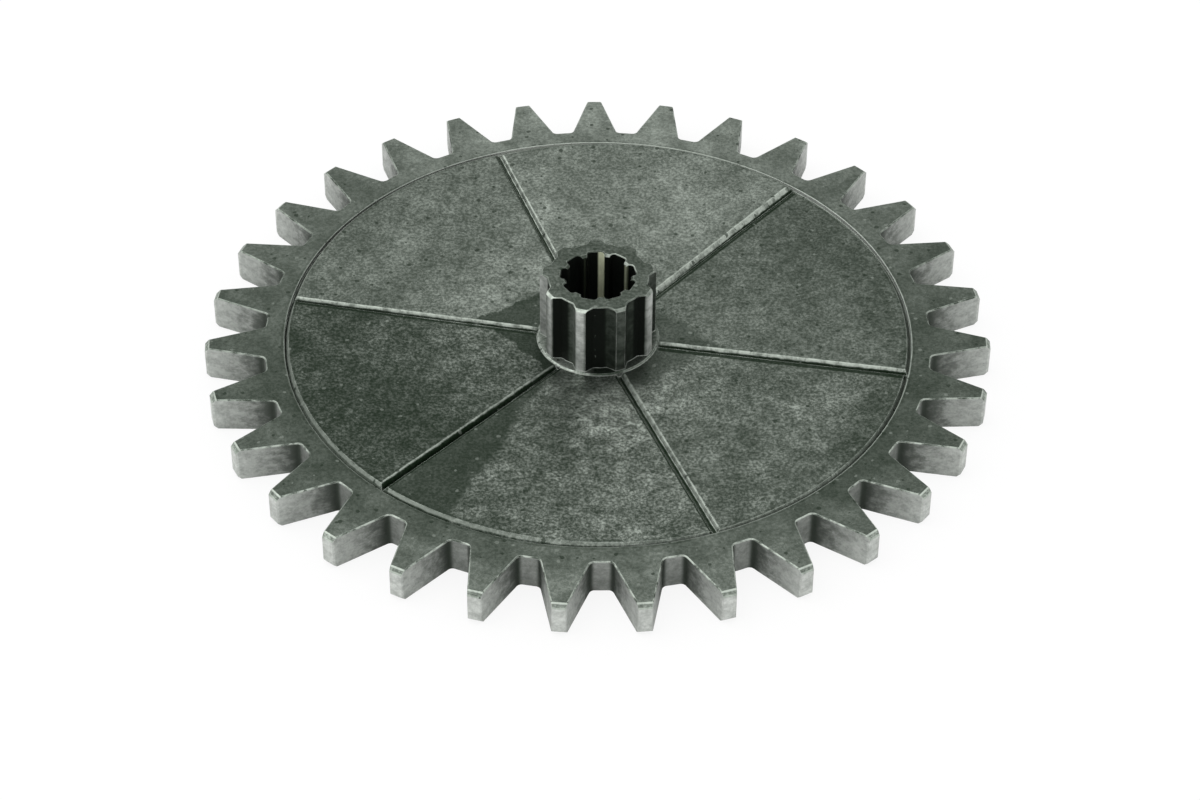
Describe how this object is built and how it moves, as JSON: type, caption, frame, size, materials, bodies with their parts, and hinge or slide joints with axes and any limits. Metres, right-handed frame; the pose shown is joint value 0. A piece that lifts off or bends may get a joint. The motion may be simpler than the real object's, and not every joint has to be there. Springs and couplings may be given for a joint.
{
  "type": "gear wheel",
  "caption": "Flat spur gear of sintered steel with straight-flanked teeth, radial web grooves and a short hub splined inside and out.",
  "frame": {"origin": "centre of the splined bore at the flat back face of the disc", "axes": "+Z along the bore axis, from the back face towards the hub; +Y through the middle of one outer tooth"},
  "size_m": [0.0824, 0.0823, 0.0115],
  "materials": {
    "sintered_steel": "matte"
  },
  "bodies": {
    "root": {"gear_wheel": "sintered_steel"}
  },
  "joints": []
}
